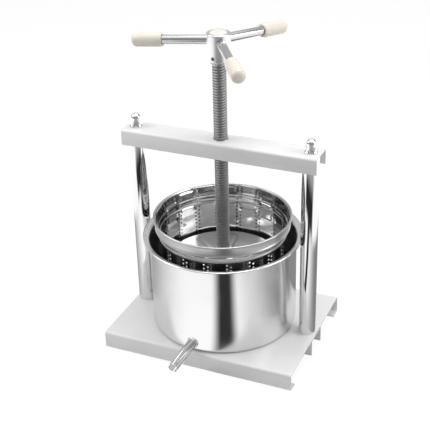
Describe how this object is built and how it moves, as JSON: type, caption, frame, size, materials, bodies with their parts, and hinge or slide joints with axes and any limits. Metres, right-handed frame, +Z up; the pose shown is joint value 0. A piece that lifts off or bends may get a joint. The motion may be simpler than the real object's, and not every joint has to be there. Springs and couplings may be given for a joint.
{
  "type": "fruit wine press",
  "caption": "Screw press for fruit: a column frame carries a threaded spindle with an armed handle, which drives a ribbed plate into a perforated basket inside a spouted pot.",
  "frame": {"origin": "on the spindle's axis, at the top face of the base plate", "axes": "+Z up along the spindle, +X along the beam to the right, -Y to the front, where the spout points"},
  "size_m": [0.3, 0.2933, 0.4813],
  "materials": {
    "white_coat": "semi-gloss white powder coat",
    "column_chrome": "bright chrome",
    "nut_chrome": "bright chrome",
    "rod_chrome": "bright chrome",
    "zinc_steel": "zinc plated",
    "bush_steel": "turned",
    "spindle_steel": "rolled thread, oiled",
    "black_steel": "black oxide",
    "hub_steel": "turned and polished",
    "plate_steel": "polished stainless",
    "pot_steel": "polished stainless",
    "basket_steel": "polished stainless",
    "cream_plastic": "satin cream"
  },
  "bodies": {
    "frame": {"base_plate": "white_coat", "base_channel": "white_coat", "column_left": "column_chrome", "column_right": "column_chrome", "tie_rod_left": "zinc_steel", "tie_rod_right": "zinc_steel", "acorn_nuts": "nut_chrome", "base_washers": "zinc_steel", "base_nuts": "zinc_steel", "top_beam": "white_coat", "spindle_nut": "bush_steel"},
    "press_foot": {"press_plate": "plate_steel", "plate_boss": "hub_steel"},
    "screw": {"spindle": "spindle_steel", "handle_hub": "hub_steel", "hub_cap": "cream_plastic", "hub_set_screw": "black_steel", "handle_rod_left": "rod_chrome", "handle_rod_front": "rod_chrome", "handle_rod_right": "rod_chrome", "grip_left": "cream_plastic", "grip_front": "cream_plastic", "grip_right": "cream_plastic", "swivel_washer": "zinc_steel", "swivel_screw": "zinc_steel"},
    "pot": {"outer_pot": "pot_steel", "pot_spout": "pot_steel", "spout_collar": "pot_steel"},
    "basket": {"basket_shell": "basket_steel", "basket_rim": "basket_steel", "basket_edge": "basket_steel", "basket_floor": "basket_steel"}
  },
  "joints": [
    {"name": "screw_travel", "type": "slide", "parent": "frame", "child": "press_foot", "axis": [0, 0, 1], "range_m": [-0.0761, 0.1601]},
    {"name": "handle_turn", "type": "hinge", "parent": "press_foot", "child": "screw", "pos_m": [0, 0, 0.112], "axis": [0, 0, 1], "range_deg": [-6840, 14400]},
    {"name": "pot_turn", "type": "hinge", "parent": "frame", "child": "pot", "pos_m": [0, 0, 0], "axis": [0, 0, 1], "range_deg": [-75, 80]},
    {"name": "basket_turn", "type": "hinge", "parent": "pot", "child": "basket", "pos_m": [0, 0, 0.001], "axis": [0, 0, 1], "continuous": true}
  ],
  "couplings": [
    {"joint": "screw_travel", "follows": "handle_turn", "m_per_rad": 0.00063662}
  ]
}
